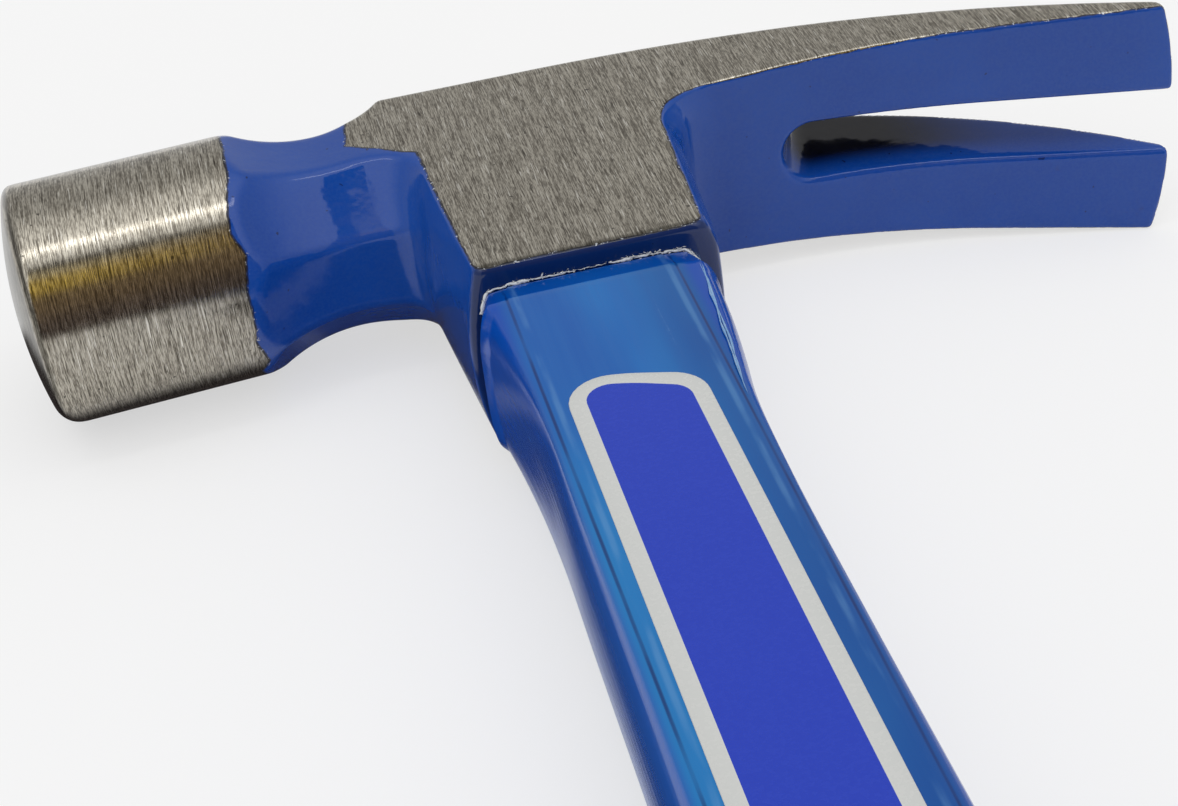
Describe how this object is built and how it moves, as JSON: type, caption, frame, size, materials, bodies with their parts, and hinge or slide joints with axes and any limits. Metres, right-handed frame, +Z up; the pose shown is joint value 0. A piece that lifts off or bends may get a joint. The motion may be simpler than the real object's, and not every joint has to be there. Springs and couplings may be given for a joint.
{
  "type": "straight claw hammer",
  "caption": "Straight claw hammer: forged steel head with ground poll and cheeks, octagonal neck, nail-pulling claws, and a jacketed fibreglass handle with rubber grip.",
  "frame": {"origin": "centre of the bounding box at the bench, with the hammer lying on its side", "axes": "+X from the striking face to the claws, +Y from the butt to the head, +Z up from the bench"},
  "size_m": [0.1448, 0.3453, 0.0318],
  "materials": {
    "head_steel": "blue gloss paint, with the poll and cheeks ground bare",
    "epoxy": "cured resin",
    "fibreglass": "glass fibre in clear resin",
    "jacket": "glossy moulded plastic",
    "grip_rubber": "matt",
    "label": "printed film"
  },
  "bodies": {
    "root": {"head": "head_steel", "epoxy_bond": "epoxy", "handle_core": "fibreglass", "handle_jacket": "jacket", "grip": "grip_rubber", "label_front": "label", "label_back": "label"}
  },
  "joints": []
}
